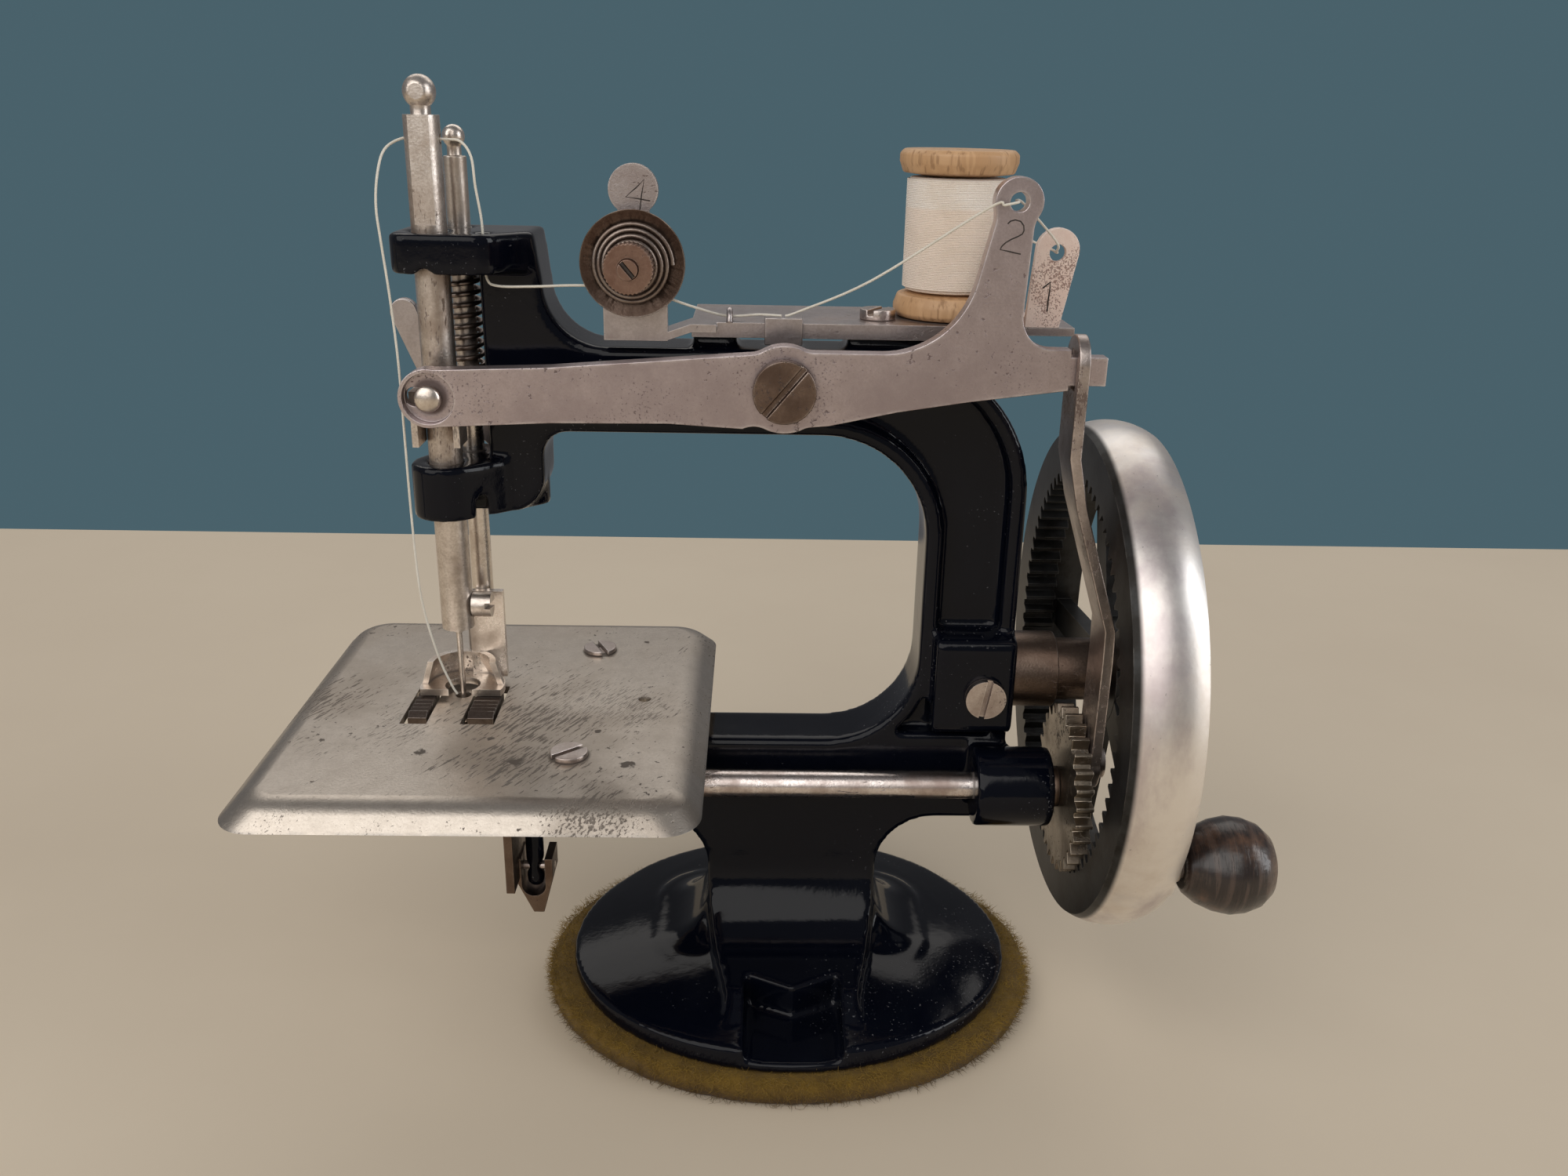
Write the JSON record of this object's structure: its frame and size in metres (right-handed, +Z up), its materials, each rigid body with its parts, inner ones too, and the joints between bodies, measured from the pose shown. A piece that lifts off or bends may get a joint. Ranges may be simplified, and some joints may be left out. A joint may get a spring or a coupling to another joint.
{
  "type": "toy sewing machine",
  "caption": "Small cast toy sewing machine with an open rocking lever, geared handwheel with a wooden knob, needle and presser bars, cloth plate and thread reel on an oval felted foot.",
  "frame": {"origin": "middle of the felt pad's underside, where the machine stands", "axes": "+X from the needle to the handwheel, +Y to the back, +Z up"},
  "size_m": [0.1642, 0.0928, 0.1617],
  "materials": {
    "black_enamel": "gloss baked enamel",
    "felt": "short fuzzy pile",
    "plate_nickel": "worn nickel plate",
    "screw_steel": "worn satin",
    "sheet_steel": "worn nickel plate",
    "tension_steel": "tarnished",
    "bar_steel": "worn satin with rust marks",
    "spring_steel": "tarnished",
    "lever_steel": "satin",
    "wheel_nickel": "polished nickel plate",
    "dark_steel": "oiled and browned",
    "gear_steel": "greased",
    "reel_wood": "turned, unvarnished",
    "knob_wood": "stained and worn",
    "thread": "soft twist"
  },
  "bodies": {
    "frame": {"frame": "black_enamel", "felt_pad": "felt", "cloth_plate": "plate_nickel", "plate_screws": "screw_steel", "thread_plate": "sheet_steel", "thread_plate_screw": "screw_steel", "thread_clip": "sheet_steel", "thread_guide": "sheet_steel", "tension_stud": "tension_steel", "tension_back_disc": "tension_steel", "tension_front_disc": "tension_steel", "tension_spring": "tension_steel", "reel_pin": "bar_steel", "wheel_stud": "dark_steel", "stud_screw": "screw_steel", "wheel_screw": "screw_steel", "lever_screw": "screw_steel", "lifter_screw": "screw_steel", "feed_pin": "bar_steel", "presser_spring": "spring_steel", "thread_take_up": "thread", "thread_bar": "thread"},
    "handwheel": {"handwheel": "wheel_nickel", "knob_stud": "wheel_nickel"},
    "knob": {"knob": "knob_wood"},
    "shaft": {"lower_shaft": "dark_steel", "shaft_collar": "dark_steel", "pinion": "gear_steel", "feed_cam": "dark_steel", "looper": "dark_steel"},
    "rod": {"connecting_rod": "lever_steel", "crank_screw": "screw_steel"},
    "lever": {"lever": "lever_steel"},
    "needle_bar": {"needle_bar": "bar_steel", "needle_yoke": "bar_steel", "drive_stud": "bar_steel", "needle": "bar_steel", "needle_screw": "screw_steel", "thread_needle": "thread"},
    "presser": {"presser_bar": "bar_steel", "presser_collar": "bar_steel", "presser_foot": "bar_steel"},
    "lifter": {"presser_lifter": "sheet_steel"},
    "feed": {"feed_lever": "dark_steel", "feed_dog": "dark_steel"},
    "reel": {"reel": "reel_wood", "thread_core": "thread", "thread_winding": "thread"},
    "tension_nut": {"tension_nut": "tension_steel"}
  },
  "joints": [
    {"name": "handwheel_spin", "type": "hinge", "parent": "frame", "child": "handwheel", "pos_m": [0.055, 0.003, 0.064], "axis": [1, 0, 0], "continuous": true},
    {"name": "shaft_spin", "type": "hinge", "parent": "frame", "child": "shaft", "pos_m": [0.045, -0.008, 0.046], "axis": [1, 0, 0], "continuous": true},
    {"name": "knob_spin", "type": "hinge", "parent": "handwheel", "child": "knob", "pos_m": [0.07, -0.03009, 0.04412], "axis": [1, 0, 0], "continuous": true},
    {"name": "lever_rock", "type": "hinge", "parent": "frame", "child": "lever", "pos_m": [-0.0033, -0.0119, 0.1173], "axis": [0, 1, 0], "range_deg": [0, 18], "deforming": ["thread_take_up"]},
    {"name": "needle_slide", "type": "slide", "parent": "frame", "child": "needle_bar", "axis": [0, 0, 1], "range_m": [0, 0.0176], "deforming": ["thread_bar", "thread_needle"]},
    {"name": "rod_slide", "type": "slide", "parent": "frame", "child": "rod", "axis": [0, 0, 1], "range_m": [-0.0147, 0]},
    {"name": "lifter_turn", "type": "hinge", "parent": "frame", "child": "lifter", "pos_m": [-0.047, 0.0101, 0.098], "axis": [0, 1, 0], "range_deg": [0, 12]},
    {"name": "presser_lift", "type": "slide", "parent": "frame", "child": "presser", "axis": [0, 0, 1], "range_m": [0, 0.0055], "deforming": ["presser_spring"]},
    {"name": "feed_rock", "type": "hinge", "parent": "frame", "child": "feed", "pos_m": [-0.0466, -0.008, 0.029], "axis": [1, 0, 0], "range_deg": [-2.2, 2.2]},
    {"name": "reel_spin", "type": "hinge", "parent": "frame", "child": "reel", "pos_m": [0.0244, 0.007, 0.14], "axis": [0, 0, 1], "continuous": true},
    {"name": "tension_nut_turn", "type": "hinge", "parent": "frame", "child": "tension_nut", "pos_m": [-0.0266, -0.0141, 0.1354], "axis": [0, 1, 0], "range_deg": [-180, 180]}
  ],
  "couplings": [
    {"joint": "shaft_spin", "follows": "handwheel_spin", "ratio": 2.5},
    {"joint": "needle_slide", "follows": "lever_rock", "m_per_rad": 0.055704},
    {"joint": "rod_slide", "follows": "lever_rock", "m_per_rad": -0.046473},
    {"joint": "presser_lift", "follows": "lifter_turn", "m_per_rad": 0.026022}
  ]
}
